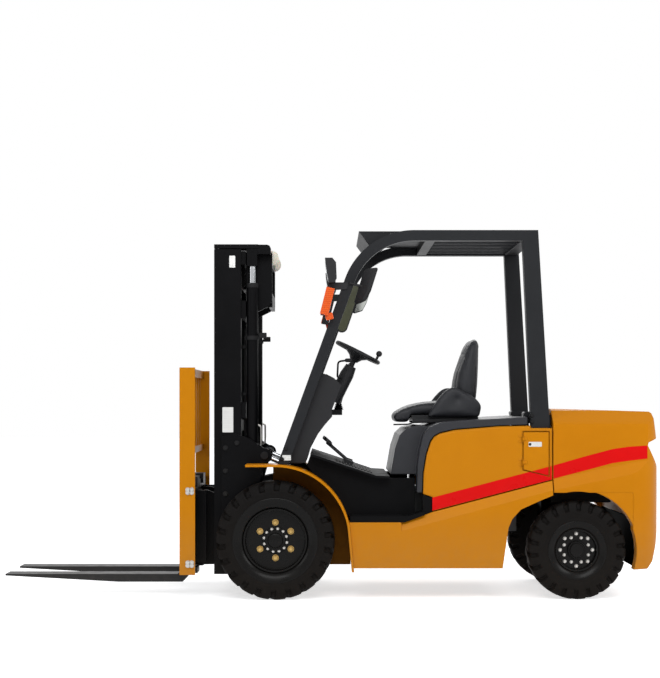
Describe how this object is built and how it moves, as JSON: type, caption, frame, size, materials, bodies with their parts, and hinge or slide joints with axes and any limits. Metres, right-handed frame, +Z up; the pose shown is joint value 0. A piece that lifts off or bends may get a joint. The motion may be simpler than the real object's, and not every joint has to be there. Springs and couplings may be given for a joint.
{
  "type": "counterbalance forklift truck",
  "caption": "Counterbalance forklift truck with a tilting telescopic mast, forks, load backrest, overhead guard, seat on a lifting hood and rear-wheel steering.",
  "frame": {"origin": "on the floor, at the middle of the overall length, on the centre plane", "axes": "+X forward towards the fork tips, +Y left, +Z up"},
  "size_m": [3.971, 1.225, 2.21],
  "materials": {
    "yellow_paint": "semi-gloss",
    "guard_paint": "satin",
    "mast_paint": "semi-gloss",
    "black_paint": "satin",
    "cast_black": "satin",
    "cast_yellow": "semi-gloss",
    "black_plastic": "matte",
    "seat_vinyl": "matte",
    "tyre_rubber": "matte",
    "chrome_rod": "polished",
    "bare_steel": "satin",
    "chain_steel": "oiled",
    "orange_lens": "glossy",
    "red_lens": "glossy",
    "engine_iron": "satin"
  },
  "bodies": {
    "chassis": {"frame": "yellow_paint", "front_fenders": "yellow_paint", "floor_deck": "black_paint", "side_panels": "yellow_paint", "counterweight": "cast_yellow", "rear_grille": "black_paint", "guard_frame": "guard_paint", "guard_roof": "guard_paint", "cowl": "black_plastic", "steering_column": "black_plastic", "controls": "black_plastic", "drive_axle": "cast_black", "steer_axle": "cast_black", "engine": "engine_iron", "headlamps": "black_plastic", "turn_lamps": "orange_lens", "tail_lamps": "red_lens", "mirrors": "black_plastic"},
    "hood": {"hood": "black_plastic", "seat_base": "black_plastic", "seat_cushion": "seat_vinyl", "seat_back": "seat_vinyl"},
    "flap": {"access_flap": "yellow_paint"},
    "steering_wheel": {"steering_wheel": "black_plastic"},
    "outer_mast": {"outer_mast": "mast_paint", "lift_barrels": "mast_paint"},
    "inner_mast": {"inner_mast": "mast_paint", "lift_rods": "chrome_rod", "chain_sheaves": "bare_steel", "lift_chains": "chain_steel"},
    "carriage": {"carriage": "mast_paint", "load_backrest": "yellow_paint", "fork_left": "mast_paint", "fork_right": "mast_paint"},
    "tilt_barrel_left": {"tilt_barrel_left": "mast_paint"},
    "tilt_rod_left": {"tilt_rod_left": "chrome_rod"},
    "wheel_front_left": {"tyre_front_left": "tyre_rubber", "rim_front_left": "black_paint"},
    "knuckle_left": {"knuckle_left": "cast_black"},
    "wheel_rear_left": {"tyre_rear_left": "tyre_rubber", "rim_rear_left": "black_paint"},
    "steer_link_left": {"steer_link_left": "cast_black"},
    "tilt_barrel_right": {"tilt_barrel_right": "mast_paint"},
    "tilt_rod_right": {"tilt_rod_right": "chrome_rod"},
    "wheel_front_right": {"tyre_front_right": "tyre_rubber", "rim_front_right": "black_paint"},
    "knuckle_right": {"knuckle_right": "cast_black"},
    "wheel_rear_right": {"tyre_rear_right": "tyre_rubber", "rim_rear_right": "black_paint"},
    "steer_link_right": {"steer_link_right": "cast_black"},
    "steer_rod": {"steer_rod": "chrome_rod"}
  },
  "joints": [
    {"name": "mast_tilt", "type": "hinge", "parent": "chassis", "child": "outer_mast", "pos_m": [0.3195, 0, 0.355], "axis": [0, 1, 0], "range_deg": [-12, 6]},
    {"name": "mast_lift", "type": "slide", "parent": "outer_mast", "child": "inner_mast", "axis": [0, 0, 1], "range_m": [0, 1.5], "deforming": ["lift_chains"]},
    {"name": "carriage_lift", "type": "slide", "parent": "inner_mast", "child": "carriage", "axis": [0, 0, 1], "range_m": [0, 1.5]},
    {"name": "tilt_barrel_left_pivot", "type": "hinge", "parent": "chassis", "child": "tilt_barrel_left", "pos_m": [-0.2005, 0.336, 0.6], "axis": [0, 1, 0], "range_deg": [-6, 4]},
    {"name": "tilt_rod_left_slide", "type": "slide", "parent": "tilt_barrel_left", "child": "tilt_rod_left", "axis": [0.9195, 0, 0.393], "range_m": [-0.1, 0.06]},
    {"name": "front_left_spin", "type": "hinge", "parent": "chassis", "child": "wheel_front_left", "pos_m": [0.3195, 0.5, 0.355], "axis": [0, 1, 0], "continuous": true},
    {"name": "steer_left", "type": "hinge", "parent": "chassis", "child": "knuckle_left", "pos_m": [-1.4805, 0.365, 0.295], "axis": [0, 0, 1], "range_deg": [-52, 52]},
    {"name": "rear_left_spin", "type": "hinge", "parent": "knuckle_left", "child": "wheel_rear_left", "pos_m": [-1.4805, 0.49, 0.295], "axis": [0, 1, 0], "continuous": true},
    {"name": "link_left_pivot", "type": "hinge", "parent": "knuckle_left", "child": "steer_link_left", "pos_m": [-1.5605, 0.365, 0.295], "axis": [0, 0, 1], "range_deg": [-53, 53]},
    {"name": "tilt_barrel_right_pivot", "type": "hinge", "parent": "chassis", "child": "tilt_barrel_right", "pos_m": [-0.2005, -0.336, 0.6], "axis": [0, 1, 0], "range_deg": [-6, 4]},
    {"name": "tilt_rod_right_slide", "type": "slide", "parent": "tilt_barrel_right", "child": "tilt_rod_right", "axis": [0.9195, 0, 0.393], "range_m": [-0.1, 0.06]},
    {"name": "front_right_spin", "type": "hinge", "parent": "chassis", "child": "wheel_front_right", "pos_m": [0.3195, -0.5, 0.355], "axis": [0, 1, 0], "continuous": true},
    {"name": "steer_right", "type": "hinge", "parent": "chassis", "child": "knuckle_right", "pos_m": [-1.4805, -0.365, 0.295], "axis": [0, 0, 1], "range_deg": [-52, 52]},
    {"name": "rear_right_spin", "type": "hinge", "parent": "knuckle_right", "child": "wheel_rear_right", "pos_m": [-1.4805, -0.49, 0.295], "axis": [0, 1, 0], "continuous": true},
    {"name": "link_right_pivot", "type": "hinge", "parent": "knuckle_right", "child": "steer_link_right", "pos_m": [-1.5605, -0.365, 0.295], "axis": [0, 0, 1], "range_deg": [-53, 53]},
    {"name": "steer_rod_slide", "type": "slide", "parent": "chassis", "child": "steer_rod", "axis": [0, 1, 0], "range_m": [-0.08, 0.08]},
    {"name": "steering_wheel_turn", "type": "hinge", "parent": "chassis", "child": "steering_wheel", "pos_m": [-0.1825, 0, 1.492], "axis": [-0.4478, 0, 0.8942], "range_deg": [-720, 720]},
    {"name": "hood_open", "type": "hinge", "parent": "chassis", "child": "hood", "pos_m": [-1.1955, 0, 1.107], "axis": [0, -1, 0], "range_deg": [0, 60]},
    {"name": "flap_open", "type": "hinge", "parent": "chassis", "child": "flap", "pos_m": [-1.1595, 0.5553, 0.9], "axis": [0, 0, -1], "range_deg": [0, 110]}
  ],
  "couplings": [
    {"joint": "carriage_lift", "follows": "mast_lift", "ratio": 1},
    {"joint": "tilt_barrel_left_pivot", "follows": "mast_tilt", "ratio": 0.4},
    {"joint": "tilt_rod_left_slide", "follows": "mast_tilt", "m_per_rad": 0.4325},
    {"joint": "tilt_barrel_right_pivot", "follows": "mast_tilt", "ratio": 0.4},
    {"joint": "tilt_rod_right_slide", "follows": "mast_tilt", "m_per_rad": 0.4325},
    {"joint": "steer_right", "follows": "steer_left", "ratio": 1},
    {"joint": "link_left_pivot", "follows": "steer_left", "ratio": -1},
    {"joint": "link_right_pivot", "follows": "steer_left", "ratio": -1},
    {"joint": "steer_rod_slide", "follows": "steer_left", "m_per_rad": -0.06946},
    {"joint": "steering_wheel_turn", "follows": "steer_left", "ratio": -10}
  ]
}
